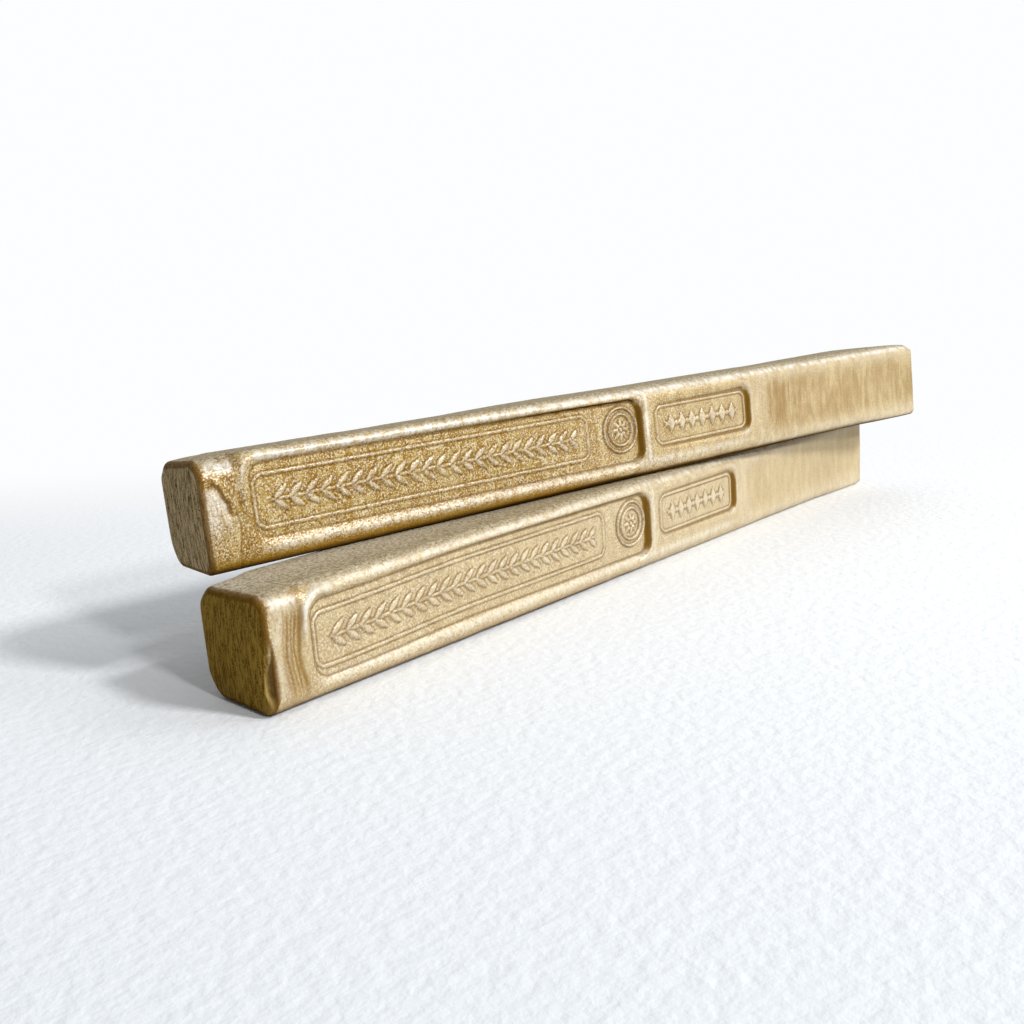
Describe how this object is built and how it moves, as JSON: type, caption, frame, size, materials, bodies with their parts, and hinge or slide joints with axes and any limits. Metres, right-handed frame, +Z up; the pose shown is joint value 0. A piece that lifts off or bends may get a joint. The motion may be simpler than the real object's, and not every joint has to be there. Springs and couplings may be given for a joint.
{
  "type": "sealing wax stick",
  "caption": "Cast sealing wax sticks with sunk, framed panels pressed into one long face, the upper lying loosely across the lower; melted to seal letters and parcels.",
  "frame": {"origin": "under the middle of the lower stick's bottom side, on the surface it lies on", "axes": "+X along the lower stick from its framed end to its bare end, pressed faces towards -Y, +Z up"},
  "size_m": [0.1464, 0.0377, 0.0283],
  "materials": {
    "wax": "satin pearl gold"
  },
  "bodies": {
    "lower_stick": {"lower_stick": "wax"},
    "upper_stick": {"upper_stick": "wax"}
  },
  "joints": [
    {"name": "upper_stick_lift", "type": "slide", "parent": "lower_stick", "child": "upper_stick", "axis": [0, 0, 1], "range_m": [0, 0.03]}
  ]
}
